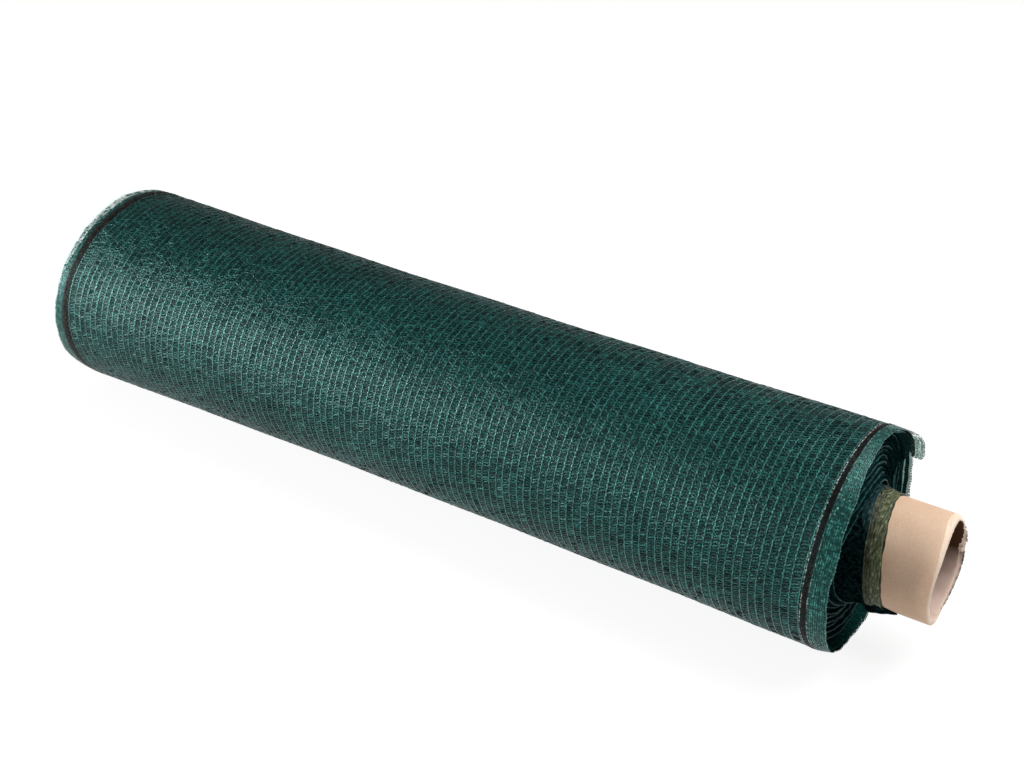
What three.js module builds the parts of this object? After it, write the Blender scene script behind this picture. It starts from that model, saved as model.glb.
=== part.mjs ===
// Roll of knitted shade netting, wound on a cardboard core and lying on its side.
//
// Millimetres, +Z up, the surface it lies on at Z = 0. The roll lies along X with its
// open end, where the core sticks out, at +X. The roll's front is -Y and its back +Y.
// Angles round the roll are in degrees from the top, positive towards the front.
// "Along" is a distance from the black stripe of the open end towards the far end,
// and "reach" a distance from the same stripe the other way, past the open end.
import * as THREE from 'three';

// The netting's stripes, and where the first of them lies
const STRIPE_X = 451;
const STRIPE_SPACING = 956;

// The wound roll
const NEAR_RADIUS = 120;
const FAR_RADIUS = 124;
const WAIST = 4.2;
const SQUASH = 0.97;
const AXIS_HEIGHT = 112;
const ROLL_SHIFT_Y = 0.4;

// The core, which lies a little off the roll's axis
const CORE_RADIUS = 55;
const BORE_RADIUS = 49.5;
const CORE_LIFT = -0.4;
const CORE_SHIFT_Y = -0.6;
const CORE_FAR_ALONG = 1000;
const GAP = 0.3;

// The loose end of the cloth, which ends on the back of the roll
const CUT_EDGE_ANGLE = -73;
const LOOSE_ARC = 55;
const LOOSE_THICKNESS = 1.2;
const LOOSE_START_GAP = 0.3;
const LOOSE_SINK = LOOSE_THICKNESS + GAP;

// The spiral of layer edges at each end. One drawn turn stands for several real ones.
const STEP_ANGLE = 5;
const NEAR_TURNS = 12;
const FAR_TURNS = 7;
const RINGS_PER_TURN = 2;
const NEAR_RIDGE = 2.3;
const FAR_RIDGE = 2;
const LIP_THICKNESS = 2.6;
const LIP_ROUNDING = 0.9;
const LIP_DEPTH_LEAN = 2;

// Places along the roll, with how far the cloth swells out or sags in there
const SECTIONS = [
  { along: 0, swell: 0 },
  { along: 12, swell: -0.5 },
  { along: 60, swell: 0.3 },
  { along: 150, swell: -0.3 },
  { along: 260, swell: 0.5 },
  { along: 370, swell: -0.2 },
  { along: 480, swell: 0.4 },
  { along: 590, swell: -0.4 },
  { along: 700, swell: 0.4 },
  { along: 800, swell: -0.2 },
  { along: 890, swell: 0.2 },
  { along: 940, swell: 0 },
  { along: 956, swell: 0 },
];

// Rim of the outermost turn at the open end: how far it reaches past the stripe and
// how far it leans in there
const NEAR_RIM = [
  { angle: -165, reach: 14, lean: 3 },
  { angle: -135, reach: 15, lean: 3 },
  { angle: -110, reach: 13, lean: 2.6 },
  { angle: -99, reach: 12, lean: 2.4 },
  { angle: -83, reach: 10, lean: 2.2 },
  { angle: -73, reach: 11, lean: 2.2 },
  { angle: -45, reach: 12, lean: 2.6 },
  { angle: -18, reach: 11, lean: 3 },
  { angle: 2, reach: 12, lean: 3.4 },
  { angle: 18, reach: 14.7, lean: 3.2 },
  { angle: 32, reach: 17.3, lean: 3 },
  { angle: 50, reach: 19.5, lean: 3 },
  { angle: 64, reach: 21.2, lean: 3 },
  { angle: 94, reach: 20, lean: 3 },
  { angle: 113, reach: 20.7, lean: 3 },
  { angle: 140, reach: 17, lean: 3.4 },
  { angle: 165, reach: 14, lean: 3.4 },
];

// Rim at the far end, in distances along
const FAR_RIM = [
  { angle: -150, along: 981, lean: 3 },
  { angle: -90, along: 975, lean: 2.5 },
  { angle: -40, along: 971, lean: 2.5 },
  { angle: 0, along: 970.5, lean: 2.5 },
  { angle: 20, along: 970, lean: 2.5 },
  { angle: 45, along: 974, lean: 2.5 },
  { angle: 83, along: 981, lean: 2.5 },
  { angle: 113, along: 987, lean: 2.5 },
  { angle: 150, along: 984, lean: 3 },
];

// Hollow of the open end, from the core out to the foot of the rim's lip: the reach
// of the layers' edges on each side. The first rows are the collar on the core.
const NEAR_FACE = [
  { out: 0, top: 36, front: 47.5, bottom: 50, back: 34 },
  { out: 0.04, top: 34, front: 43, bottom: 45, back: 32 },
  { out: 0.065, top: 30, front: 36, bottom: 39, back: 29 },
  { out: 0.1, top: 27, front: 28, bottom: 31, back: 25 },
  { out: 0.15, top: 24, front: 12, bottom: 20, back: 14 },
  { out: 0.28, top: 18, front: -5, bottom: 4, back: -4 },
  { out: 0.5, top: 11, front: -10, bottom: -4, back: -13 },
  { out: 0.72, top: 7, front: -8, bottom: -4, back: -15 },
  { out: 0.88, top: 6, front: -2, bottom: 0, back: -12 },
  { out: 1, top: 6, front: 8, bottom: 3, back: -5 },
];

// The same for the far end, which lies nearly level
const FAR_FACE = [
  { out: 0, top: 984, front: 990, bottom: 988, back: 984 },
  { out: 0.12, top: 978, front: 984, bottom: 982, back: 978 },
  { out: 0.3, top: 966, front: 972, bottom: 970, back: 967 },
  { out: 0.6, top: 962, front: 969, bottom: 968, back: 963 },
  { out: 0.85, top: 960, front: 970, bottom: 968, back: 962 },
  { out: 1, top: 961, front: 973, bottom: 970, back: 964 },
];

// Near and far edges of the loose end, from where it leaves the roll to its cut edge
const LOOSE_EDGE = [
  { angle: -18, reach: 12, along: 970.5 },
  { angle: -28, reach: 16, along: 971 },
  { angle: -42, reach: 20, along: 972 },
  { angle: -54, reach: 23.5, along: 971 },
  { angle: -68, reach: 23, along: 973 },
  { angle: -73, reach: 19, along: 971 },
];

// Mouth of the core at the open end: how far the cut reaches at the outside of the wall
// and at its inside. It is out of square, worn slanting at the top and torn at the back.
const CORE_MOUTH = [
  { angle: -168, outer: 92.5, inner: 92.3 },
  { angle: -125, outer: 94, inner: 91.5 },
  { angle: -105, outer: 93.8, inner: 91 },
  { angle: -97, outer: 93, inner: 88.5 },
  { angle: -85, outer: 93.5, inner: 91.5 },
  { angle: -70, outer: 90.5, inner: 92 },
  { angle: -25, outer: 85.5, inner: 91.5 },
  { angle: 0, outer: 87.5, inner: 94 },
  { angle: 22, outer: 92, inner: 96.2 },
  { angle: 48, outer: 95.5, inner: 97.8 },
  { angle: 70, outer: 96, inner: 97.2 },
  { angle: 95, outer: 95.6, inner: 96.5 },
  { angle: 127, outer: 97, inner: 97 },
  { angle: 165, outer: 95, inner: 95.5 },
];
const CORE_STEP_ANGLE = 6;
const CORE_LIP_ROUNDING = 0.8;

const FULL_TURN = 360;

// Mixes two values by a share from 0 to 1
function mix(low, high, share) {
  return low + (high - low) * share;
}

// Reads a column of a table whose rows are sorted by key, straight between rows
function readTable(table, key, column, value) {
  const last = table.length - 1;
  if (value <= table[0][key]) return table[0][column];
  if (value >= table[last][key]) return table[last][column];
  const next = table.findIndex((row) => row[key] > value);
  const low = table[next - 1];
  const high = table[next];
  const share = (value - low[key]) / (high[key] - low[key]);
  return mix(low[column], high[column], share);
}

// Brings an angle between -180 and 180
function wrapAngle(angle) {
  return THREE.MathUtils.euclideanModulo(angle + FULL_TURN / 2, FULL_TURN) - FULL_TURN / 2;
}

// Reads a column of a table that runs round the roll, so its last row meets its first
function readRound(table, column, angle) {
  const first = table[0];
  const last = table[table.length - 1];
  const before = { ...last, angle: last.angle - FULL_TURN };
  const after = { ...first, angle: first.angle + FULL_TURN };
  return readTable([before, ...table, after], 'angle', column, wrapAngle(angle));
}

// Reads a table whose columns are the four sides, blending softly from side to side
function readSides(table, out, angle) {
  const radians = THREE.MathUtils.degToRad(angle);
  const upright = Math.cos(radians);
  const sideways = Math.sin(radians);
  const vertical = readTable(table, 'out', upright > 0 ? 'top' : 'bottom', out);
  const horizontal = readTable(table, 'out', sideways > 0 ? 'front' : 'back', out);
  return vertical * upright * upright + horizontal * sideways * sideways;
}

// Half width of the roll at a distance along
function rollRadius(along) {
  const share = along / STRIPE_SPACING;
  const straight = mix(NEAR_RADIUS, FAR_RADIUS, share);
  const waist = 4 * WAIST * share * (1 - share);
  return straight - waist + readTable(SECTIONS, 'along', 'swell', along);
}

// A point at a radius and angle. The section is round at the core and squashed at the
// outside, and it lies flat on the surface.
function rollPoint(along, radius, angle) {
  const radians = THREE.MathUtils.degToRad(angle);
  const outward = THREE.MathUtils.clamp((radius - CORE_RADIUS) / (NEAR_RADIUS - CORE_RADIUS), 0, 1);
  const squash = mix(1, SQUASH, outward);
  const centreY = mix(CORE_SHIFT_Y, ROLL_SHIFT_Y, outward);
  const centreZ = AXIS_HEIGHT + mix(CORE_LIFT, 0, outward);
  const y = centreY - radius * Math.sin(radians);
  const z = centreZ + radius * squash * Math.cos(radians);
  return [STRIPE_X - along, y, Math.max(z, 0)];
}

// Collects the corners and triangles of one closed skin. Equal keys share a corner.
function makeSkin() {
  const places = [];
  const numbers = new Map();
  const triangles = [];

  function corner(key, place) {
    if (!numbers.has(key)) {
      numbers.set(key, numbers.size);
      places.push(...place);
    }
    return numbers.get(key);
  }

  function triangle(a, b, c) {
    if (a !== b && b !== c && a !== c) triangles.push(a, b, c);
  }

  function quad(a, b, c, d) {
    triangle(a, b, c);
    triangle(a, c, d);
  }

  function geometry() {
    const shape = new THREE.BufferGeometry();
    shape.setAttribute('position', new THREE.Float32BufferAttribute(places, 3));
    shape.setIndex(triangles);
    shape.computeVertexNormals();
    return shape;
  }

  return { corner, quad, geometry };
}

// Joins two rings, functions from a column to a corner. Seen from +X the columns run
// clockwise, and a skin is walked from the bore out, along the outside and back.
function joinRings(skin, ring, next, columns) {
  for (let i = 0; i < columns; i += 1) {
    skin.quad(ring(i), ring(i + 1), next(i + 1), next(i));
  }
}

function joinAll(skin, rings, columns) {
  for (let k = 0; k + 1 < rings.length; k += 1) {
    joinRings(skin, rings[k], rings[k + 1], columns);
  }
}

// Columns of the roll: they follow the winding outwards, down the back from the cut
// edge, under the roll, up the front and over the top to the cut edge again. A second
// column beside the start of the loose end makes the step that it lies in.
function rollColumns() {
  const looseStart = CUT_EDGE_ANGLE + LOOSE_ARC;
  const stepWidth = 0.05;
  const columns = [];
  for (let turned = 0; turned < FULL_TURN; turned += STEP_ANGLE) {
    const angle = CUT_EDGE_ANGLE + FULL_TURN - turned;
    columns.push({ angle, turned, sink: looseSink(turned) });
    if (angle === looseStart) {
      columns.push({ angle: angle - stepWidth, turned: turned + stepWidth, sink: LOOSE_SINK });
    }
  }
  return columns;
}

// How far the roll lies below its full radius: by the loose end's thickness where the
// loose end covers it, and less and less from the cut edge round to where that starts
function looseSink(turned) {
  const uncovered = FULL_TURN - LOOSE_ARC;
  return turned > uncovered ? LOOSE_SINK : LOOSE_SINK * (1 - turned / uncovered);
}

// Uneven winding: a soft wave that differs from turn to turn, between -1 and 1
function unevenness(turn, angle) {
  const radians = THREE.MathUtils.degToRad(angle);
  const slow = Math.sin(2 * radians + 2.4 * turn);
  const quick = Math.sin(5 * radians + 1.3 * turn);
  return 0.65 * slow + 0.35 * quick;
}

// One end of the roll: the spiral of ridges between two plain rings. The inner ring
// lies on the core, the outer one at the foot of the rim's lip.
function spiralRings(skin, end, columns) {
  const rings = [];
  const ridgeWidth = 1 / (end.turns * RINGS_PER_TURN);
  const lastRing = end.turns * RINGS_PER_TURN;

  function spiralCorner(ring, column) {
    if (column >= columns.length) {
      return spiralCorner(ring + RINGS_PER_TURN, column - columns.length);
    }
    const { angle, turned, sink } = columns[column];
    const turn = ring / RINGS_PER_TURN + turned / FULL_TURN;
    const out = THREE.MathUtils.clamp(turn / end.turns, 0, 1);
    const footRadius = end.footRadius(angle) - sink;
    const radius = mix(CORE_RADIUS + GAP, footRadius, out);
    if (out === 0 || out === 1) {
      const key = `${end.name} edge ${out} ${column}`;
      return skin.corner(key, rollPoint(end.along(out, angle), radius, angle));
    }
    const fromEdge = Math.min(out, 1 - out) / ridgeWidth;
    const fade = Math.min(1, fromEdge);
    const side = ring % RINGS_PER_TURN === 0 ? 1 : -1;
    const height = end.ridge * (side + 0.8 * unevenness(turn, angle)) * fade;
    const along = end.along(out, angle) + end.outward * height;
    return skin.corner(`${end.name} ${ring} ${column}`, rollPoint(along, radius, angle));
  }

  for (let ring = -RINGS_PER_TURN; ring <= lastRing; ring += 1) {
    rings.push((column) => spiralCorner(ring, column));
  }
  return rings;
}

// A ring of the outside, at one distance along and one depth below the full radius,
// both of which may differ round the roll
function outsideRing(skin, name, along, depth, columns) {
  return (column) => {
    const { angle, sink } = columns[column % columns.length];
    const place = along(angle);
    const radius = rollRadius(place) - depth(angle) - sink;
    return skin.corner(`${name} ${column % columns.length}`, rollPoint(place, radius, angle));
  };
}

// The rim's lip: a thin wall of the outermost turns, with a rounded edge, listed from
// the edge's inner side to its outer one
function lipRings(skin, name, edge, lean, outward, columns) {
  const inner = outsideRing(skin, `${name} lip inner`,
    (angle) => edge(angle) - outward * LIP_ROUNDING,
    (angle) => lean(angle) + LIP_THICKNESS, columns);
  const crest = outsideRing(skin, `${name} lip crest`, edge,
    (angle) => lean(angle) + LIP_THICKNESS / 2, columns);
  const outer = outsideRing(skin, `${name} lip outer`,
    (angle) => edge(angle) - outward * LIP_ROUNDING,
    lean, columns);
  return [inner, crest, outer];
}

// The wound netting, with a bore for the core
function netRoll() {
  const skin = makeSkin();
  const columns = rollColumns();
  const nearEdge = (angle) => -readRound(NEAR_RIM, 'reach', angle);
  const nearLean = (angle) => readRound(NEAR_RIM, 'lean', angle);
  const farEdge = (angle) => readRound(FAR_RIM, 'along', angle);
  const farLean = (angle) => readRound(FAR_RIM, 'lean', angle);

  const nearEnd = {
    name: 'near',
    turns: NEAR_TURNS,
    ridge: NEAR_RIDGE,
    outward: -1,
    along: (out, angle) => -readSides(NEAR_FACE, out, angle),
    footRadius: (angle) => NEAR_RADIUS - nearLean(angle) - LIP_THICKNESS - LIP_DEPTH_LEAN,
  };
  const farEnd = {
    name: 'far',
    turns: FAR_TURNS,
    ridge: FAR_RIDGE,
    outward: 1,
    along: (out, angle) => readSides(FAR_FACE, out, angle),
    footRadius: (angle) => FAR_RADIUS - farLean(angle) - LIP_THICKNESS - LIP_DEPTH_LEAN,
  };

  const outside = SECTIONS.map(({ along }) => outsideRing(skin, `section ${along}`,
    () => along, () => 0, columns));
  const near = spiralRings(skin, nearEnd, columns);
  const nearLip = lipRings(skin, 'near', nearEdge, nearLean, -1, columns);
  const farLip = lipRings(skin, 'far', farEdge, farLean, 1, columns).reverse();
  const far = spiralRings(skin, farEnd, columns).reverse();

  joinAll(skin, [...near, ...nearLip, ...outside, ...farLip], columns.length);
  joinAll(skin, [farLip[2], far[0]], columns.length);
  joinAll(skin, far, columns.length);
  joinAll(skin, [far[far.length - 1], near[0]], columns.length);
  return skin.geometry();
}

// A sheet from two faces of the same grid of columns and stations: its four edges are
// closed by joining the two faces there
function sheetGeometry(columnCount, stationCount, place) {
  const skin = makeSkin();
  const at = (face, i, j) => skin.corner(`${face} ${i} ${j}`, place(face, i, j));
  const lastColumn = columnCount - 1;
  const lastStation = stationCount - 1;
  for (let i = 0; i < lastColumn; i += 1) {
    for (let j = 0; j < lastStation; j += 1) {
      skin.quad(at('outer', i, j), at('outer', i + 1, j), at('outer', i + 1, j + 1), at('outer', i, j + 1));
      skin.quad(at('inner', i, j), at('inner', i, j + 1), at('inner', i + 1, j + 1), at('inner', i + 1, j));
    }
    skin.quad(at('inner', i, 0), at('inner', i + 1, 0), at('outer', i + 1, 0), at('outer', i, 0));
    skin.quad(at('outer', i, lastStation), at('outer', i + 1, lastStation),
      at('inner', i + 1, lastStation), at('inner', i, lastStation));
  }
  for (let j = 0; j < lastStation; j += 1) {
    skin.quad(at('outer', 0, j), at('outer', 0, j + 1), at('inner', 0, j + 1), at('inner', 0, j));
    skin.quad(at('inner', lastColumn, j), at('inner', lastColumn, j + 1),
      at('outer', lastColumn, j + 1), at('outer', lastColumn, j));
  }
  return skin.geometry();
}

// The last part of the outermost turn. It lies on the roll over the top of the back
// and ends in a cut edge, and its near corner hangs out past the turn below.
function looseEnd() {
  const startAngle = CUT_EDGE_ANGLE + LOOSE_ARC;
  const angles = [startAngle - LOOSE_START_GAP];
  for (let turned = STEP_ANGLE; turned <= LOOSE_ARC; turned += STEP_ANGLE) {
    angles.push(startAngle - turned);
  }
  const rims = [{ edge: 'reach', sign: -1 }, { edge: 'along', sign: 1 }];

  function edgeAlong(rim, angle) {
    const fallingAngle = -angle;
    const rows = LOOSE_EDGE.map((row) => ({ ...row, angle: -row.angle }));
    return rim.sign * readTable(rows, 'angle', rim.edge, fallingAngle);
  }

  function place(face, column, station) {
    const angle = angles[column];
    let along;
    if (station === 0) along = edgeAlong(rims[0], angle);
    else if (station > SECTIONS.length) along = edgeAlong(rims[1], angle);
    else along = SECTIONS[station - 1].along;
    const depth = face === 'inner' ? LOOSE_THICKNESS : 0;
    return rollPoint(along, rollRadius(along) - depth, angle);
  }

  return sheetGeometry(angles.length, SECTIONS.length + 2, place);
}

// The cardboard tube, with its worn mouth
function coreTube() {
  const skin = makeSkin();
  const count = FULL_TURN / CORE_STEP_ANGLE;
  const outerMouth = (angle) => -readRound(CORE_MOUTH, 'outer', angle);
  const innerMouth = (angle) => -readRound(CORE_MOUTH, 'inner', angle);

  function ring(name, along, radius) {
    return (column) => {
      const angle = -CORE_STEP_ANGLE * (column % count);
      const radians = THREE.MathUtils.degToRad(angle);
      const place = [
        STRIPE_X - along(angle),
        CORE_SHIFT_Y - radius * Math.sin(radians),
        AXIS_HEIGHT + CORE_LIFT + radius * Math.cos(radians),
      ];
      return skin.corner(`${name} ${column % count}`, place);
    };
  }

  const farEnd = () => CORE_FAR_ALONG;
  const rings = [
    ring('bore far', farEnd, BORE_RADIUS),
    ring('bore mouth', (angle) => innerMouth(angle) + CORE_LIP_ROUNDING, BORE_RADIUS),
    ring('lip inner', innerMouth, BORE_RADIUS + CORE_LIP_ROUNDING),
    ring('lip outer', outerMouth, CORE_RADIUS - CORE_LIP_ROUNDING),
    ring('outside mouth', (angle) => outerMouth(angle) + CORE_LIP_ROUNDING, CORE_RADIUS),
    ring('outside far', farEnd, CORE_RADIUS),
    ring('bore far', farEnd, BORE_RADIUS),
  ];
  joinAll(skin, rings, count);
  return skin.geometry();
}

// One named mesh with a material of its own
function namedMesh(name, geometry, look) {
  const material = new THREE.MeshStandardMaterial({ ...look, metalness: 0 });
  const mesh = new THREE.Mesh(geometry, material);
  mesh.name = name;
  return mesh;
}

const netting = { color: 0x1f4f44, roughness: 0.6 };
const cardboard = { color: 0xc9a680, roughness: 0.9 };

const roll = new THREE.Group();
roll.add(namedMesh('net_roll', netRoll(), netting));
roll.add(namedMesh('loose_end', looseEnd(), netting));
roll.add(namedMesh('core_tube', coreTube(), cardboard));

export default roll;
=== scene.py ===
"""Roll of knitted shade netting on a cardboard core: the visible surfaces round its solids.

Sizes are in millimetres and angles in degrees until a piece is made, which is in metres.
The roll lies along X with its open end, where the core sticks out, at +X, and its front
is -Y. An angle round it is measured from the top, positive towards the front. "Along"
is a distance from the black stripe of the open end towards the far end, and "reach" a
distance from the same stripe the other way.

The cloth has two coordinates of its own. "Cross" runs across the cloth from the black
stripe of the open end towards the far end. "Wound" is the angle along the winding from
the cut edge inwards: over the top, down the front, under the roll and up the back.
"""
import math

import bpy
import numpy as np
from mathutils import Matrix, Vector


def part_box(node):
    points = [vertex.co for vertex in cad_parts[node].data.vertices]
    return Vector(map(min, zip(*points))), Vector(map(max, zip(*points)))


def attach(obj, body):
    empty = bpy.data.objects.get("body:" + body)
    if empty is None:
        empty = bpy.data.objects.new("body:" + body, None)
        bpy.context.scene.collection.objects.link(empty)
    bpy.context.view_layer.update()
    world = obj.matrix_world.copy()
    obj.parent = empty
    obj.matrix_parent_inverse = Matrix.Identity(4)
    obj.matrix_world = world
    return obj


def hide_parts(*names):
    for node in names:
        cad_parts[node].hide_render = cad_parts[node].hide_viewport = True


MM = 0.001
FULL_TURN = 360
rng = np.random.default_rng(seed=11)

# The wound roll, as in its solids
STRIPE_X = 451
STRIPE_SPACING = 956
NEAR_RADIUS = 120
FAR_RADIUS = 124
WAIST = 4.2
SQUASH = 0.97
AXIS_HEIGHT = 112
ROLL_SHIFT_Y = 0.4
CORE_GAP = 0.3
CUT_EDGE_ANGLE = -73
LOOSE_ARC = 55
LOOSE_SINK = 1.5

# The knit
WALES = 113
COURSES = 216
COURSE_PITCH = 3.56
WALE_PITCH = STRIPE_SPACING / WALES
COURSE_ANGLE = FULL_TURN / COURSES
DEGREES_PER_MM = COURSE_ANGLE / COURSE_PITCH
LOOSE_COURSES = int(LOOSE_ARC / COURSE_ANGLE)
TUCKED_COURSES = 30
FIRST_CHAIN = 6.6
LAST_CHAIN = STRIPE_SPACING - 7.2
TAPE_WIDTH = 1.3
TAPE_DEPTH = 0.85
TAPE_TWIST = 0.3
CHAIN_WIDTH = 1.9
CHAIN_DEPTH = 0.35
BEAD_HEIGHT = 0.07
BASE_DEPTH = 1.6
SHEET_DEPTH = 1.5

# The selvedges outside the stripes, with the widths of their chains and of their rungs
SELVEDGE = 20
SELVEDGE_CHAINS = 9
SELVEDGE_WIDTHS = (1.0, 1.5)
GROUND_DEPTH = 1.0

# The stripes, with the places of their chains, and the near one's rows of pale stitches:
# side, place, width, depth
STRIPE_WIDTHS = (1.5, 2.4)
NEAR_STRIPE_CHAINS = (-0.6, 1.2, 3.0)
NEAR_STITCHES = [("inner", 4.9, 1.4, 0.4), ("outer", -2.1, 0.9, 0.5)]
FAR_STRIPE_CHAINS = (-5.2, -3, -0.8, 1.4, 3.6)

# Arcs from the cut edge: where the corner hangs and where the far fringe stands out, and
# the last arc of the outer turn, whose selvedge is seen from inside the rim
CORNER_ARC = 24
FAR_FRINGE_ARC = 130
RIM_BACK_ARC = 48

# Share of a selvedge that its close ground covers, and how much less of it where one
# sees through. A stretch round the roll is the four angles that hump takes.
GROUND_COVER = 0.96
NEAR_THINNED = 0.32
NEAR_THIN_STRETCH = (-125, -105, -70, -40)
FAR_THINNED = 0.4
FAR_THIN_STRETCH = (-110, -70, 30, 80)
LOOSE_NEAR_GROUND = 0.53
LOOSE_FAR_GROUND = 0.5

# Share of the open end's selvedge that its close threads cover
OUTER_THREADS = 0.97
LOOSE_THREADS = 0.5

# The lip of the wound form below each rim: how far inside the rim it stays, how much
# further where the selvedge hangs free, its round section (inside, depth), and the depth
# at which the end's face meets it
NEAR_LIP = 2.5
NEAR_LIP_FREE = 6
NEAR_FREE_STRETCH = (-135, -105, -60, -10)
FAR_LIP = 5
FAR_LIP_FREE = 5
FAR_FREE_STRETCH = (-110, -70, 35, 80)
LIP_SECTION = [(1.2, 3.6), (0, 2.4), (1.2, BASE_DEPTH)]
LIP_DEPTH = 4.6

# The spiral of layers' edges at both ends
LAYER_TURNS = 27
LAYER_GROUP = 3
LAYER_COLUMNS = 120
LAYER_START_ANGLE = 287
LAYER_OUTER = 0.985

# Places along the roll: along, swell
SECTIONS = [
    (0, 0), (12, -0.5), (60, 0.3), (150, -0.3), (260, 0.5), (370, -0.2), (480, 0.4),
    (590, -0.4), (700, 0.4), (800, -0.2), (890, 0.2), (940, 0), (956, 0),
]

# Rim of the outermost turn at the open end: angle, reach, lean inwards
NEAR_RIM = [
    (-165, 14, 3), (-135, 15, 3), (-110, 13, 2.6), (-99, 12, 2.4), (-83, 10, 2.2),
    (-73, 11, 2.2), (-45, 12, 2.6), (-18, 11, 3), (2, 12, 3.4), (18, 14.7, 3.2),
    (32, 17.3, 3), (50, 19.5, 3), (64, 21.2, 3), (94, 20, 3), (113, 20.7, 3),
    (140, 17, 3.4), (165, 14, 3.4),
]

# Rim at the far end: angle, along, lean inwards
FAR_RIM = [
    (-150, 981, 3), (-90, 975, 2.5), (-40, 971, 2.5), (0, 970.5, 2.5), (20, 970, 2.5),
    (45, 974, 2.5), (83, 981, 2.5), (113, 987, 2.5), (150, 984, 3),
]
RIM_PLACE, RIM_LEAN = 1, 2

# Far stripe, which the winding has pulled askew: angle, shift along
FAR_STRIPE = [
    (-150, 4), (-90, -1), (-40, -4), (8, -6), (22, -4), (32, -0.6), (46, 1.5),
    (60, 5), (78, 7.5), (100, 8), (150, 6),
]

# Loose end's rims: angle, reach at the open end, along at the far end
LOOSE_EDGE = [
    (-73, 19, 971), (-68, 23, 973), (-54, 23.5, 971), (-42, 20, 972), (-28, 16, 971),
    (-18, 12, 970.5),
]
LOOSE_NEAR, LOOSE_FAR = 1, 2

# Floor of the open end's hollow, painted near black as shade: share of the way out from the
# core to the lip, then the reach at the top, front, bottom and back
NEAR_FLOOR = [
    (0, 28, 42, 44, 28), (0.03, 22, 32, 36, 22), (0.06, 10, 18, 26, 8),
    (0.1, 4, 6, 14, 2), (0.16, 0, -6, 4, -4), (0.3, -3, -15, -6, -8),
    (0.5, -5, -19, -8, -10), (0.72, -5, -17, -8, -10), (0.88, -3, -10, -6, -8),
    (1, 4, 6, 2, 0),
]

# Edges of the layers that stand out of it, in the same columns
NEAR_EDGES = [
    (0.1, 18, 12, 22, 16), (0.16, 14, 4, 13, 10), (0.3, 10, -6, 4, 2),
    (0.5, 6, -10, 2, 0), (0.7, 5, -8, 2, 0), (0.88, 5, -3, 3, 0), (1, 8, 8, 6, 3),
]

# The same two for the far end, in distances along
FAR_FLOOR = [
    (0, 984, 990, 988, 984), (0.12, 975, 981, 979, 975), (0.3, 963, 969, 967, 964),
    (0.6, 959, 966, 965, 960), (0.85, 957, 967, 965, 959), (1, 961, 973, 970, 964),
]
FAR_EDGES = [
    (0, 984, 990, 988, 984), (0.12, 978, 984, 982, 978), (0.3, 966, 972, 970, 967),
    (0.6, 962, 969, 968, 963), (0.85, 960, 970, 968, 962), (1, 961, 973, 970, 964),
]

# Edge of the innermost turn on the core: angle, reach
COLLAR_EDGE = [
    (-150, 36), (-110, 33), (-19, 31.5), (2, 33), (18, 36), (41, 40.5), (57, 43),
    (77, 46.5), (107, 49.5), (130, 50), (175, 44),
]

# Turn that sags from the core's underside: angle, drop at its foot, reach of its tip
SAGGING_TURN = [
    (124, 0.1, 48), (130, 1, 56), (135, 4, 63), (140, 6.8, 64), (148, 8.2, 61),
    (158, 7, 56), (170, 4.5, 50), (182, 1, 43), (190, 0.3, 40),
]
FOLD_DROP, FOLD_TIP = 1, 2

# Mouth of the core: angle, reach of the wall's outside, reach of its inside
CORE_MOUTH = [
    (-168, 92.5, 92.3), (-125, 94, 91.5), (-105, 93.8, 91), (-97, 93, 88.5),
    (-85, 93.5, 91.5), (-70, 90.5, 92), (-25, 85.5, 91.5), (0, 87.5, 94),
    (22, 92, 96.2), (48, 95.5, 97.8), (70, 96, 97.2), (95, 95.6, 96.5), (127, 97, 97),
    (165, 95, 95.5),
]
MOUTH_OUTSIDE, MOUTH_INSIDE = 1, 2

# Stretches of the mouth: worn ragged, torn at the top of the back, and painted dark brown
# below it as shade, where the lip takes the bore's look, with its painted shade, up to an angle
WORN_STRETCH = (-180, -160, -75, -45)
TORN_STRETCH = (-86, -50)
SHADED_STRETCH = (-166, -101)
BORE_LIP_END = -100

# The core's plies, which are wound in a spiral
PLY_WIDTH = 90
SEAM_WIDTH = 1.2

# The photograph's view, from a place in metres
CAMERA_PLACE = (0.8784, -1.2731, 1.0910)
CAMERA_DIRECTION = (-0.464, 0.711, -0.529)
CAMERA_LENS = 58
SENSOR_WIDTH = 36

# The studio, in metres and watts, with each lamp's name, place, target, size and power
FLOOR_SIZE = 60
TABLE_COLOUR = (0.16, 0.16, 0.16)
TABLE_GLOW = 0.86
WORLD_LIGHT = 0.3
LAMPS = [
    ("key", (-2.45, -2.1, 0.9), (-0.25, 0, 0.1), 1.2, 180),
    ("top", (0.9, 0.5, 1.8), (0.1, 0, 0.1), 1.2, 37),
    ("side", (1.4, 1.0, 1.5), (0.5, 0, 0.1), 0.6, 12),
]

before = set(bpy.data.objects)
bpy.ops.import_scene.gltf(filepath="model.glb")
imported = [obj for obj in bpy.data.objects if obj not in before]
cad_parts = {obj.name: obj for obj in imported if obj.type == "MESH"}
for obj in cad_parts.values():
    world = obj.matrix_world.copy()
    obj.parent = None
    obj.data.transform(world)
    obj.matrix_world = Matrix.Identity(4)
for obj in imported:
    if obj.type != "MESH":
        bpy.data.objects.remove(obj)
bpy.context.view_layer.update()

# The core, read from the frame
core_low, core_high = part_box("core_tube")
CORE_RADIUS = (core_high.z - core_low.z) / 2 / MM
CORE_Y = (core_high.y + core_low.y) / 2 / MM
CORE_Z = (core_high.z + core_low.z) / 2 / MM
CORE_FAR_ALONG = STRIPE_X - core_low.x / MM
CORE_WALL = 5.5
BORE_RADIUS = CORE_RADIUS - CORE_WALL

# Stations round the loose end, from just inside its cut edge
LOOSE_WOUND = np.linspace(0.4, LOOSE_ARC, 45)


# Reading the tables

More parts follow.
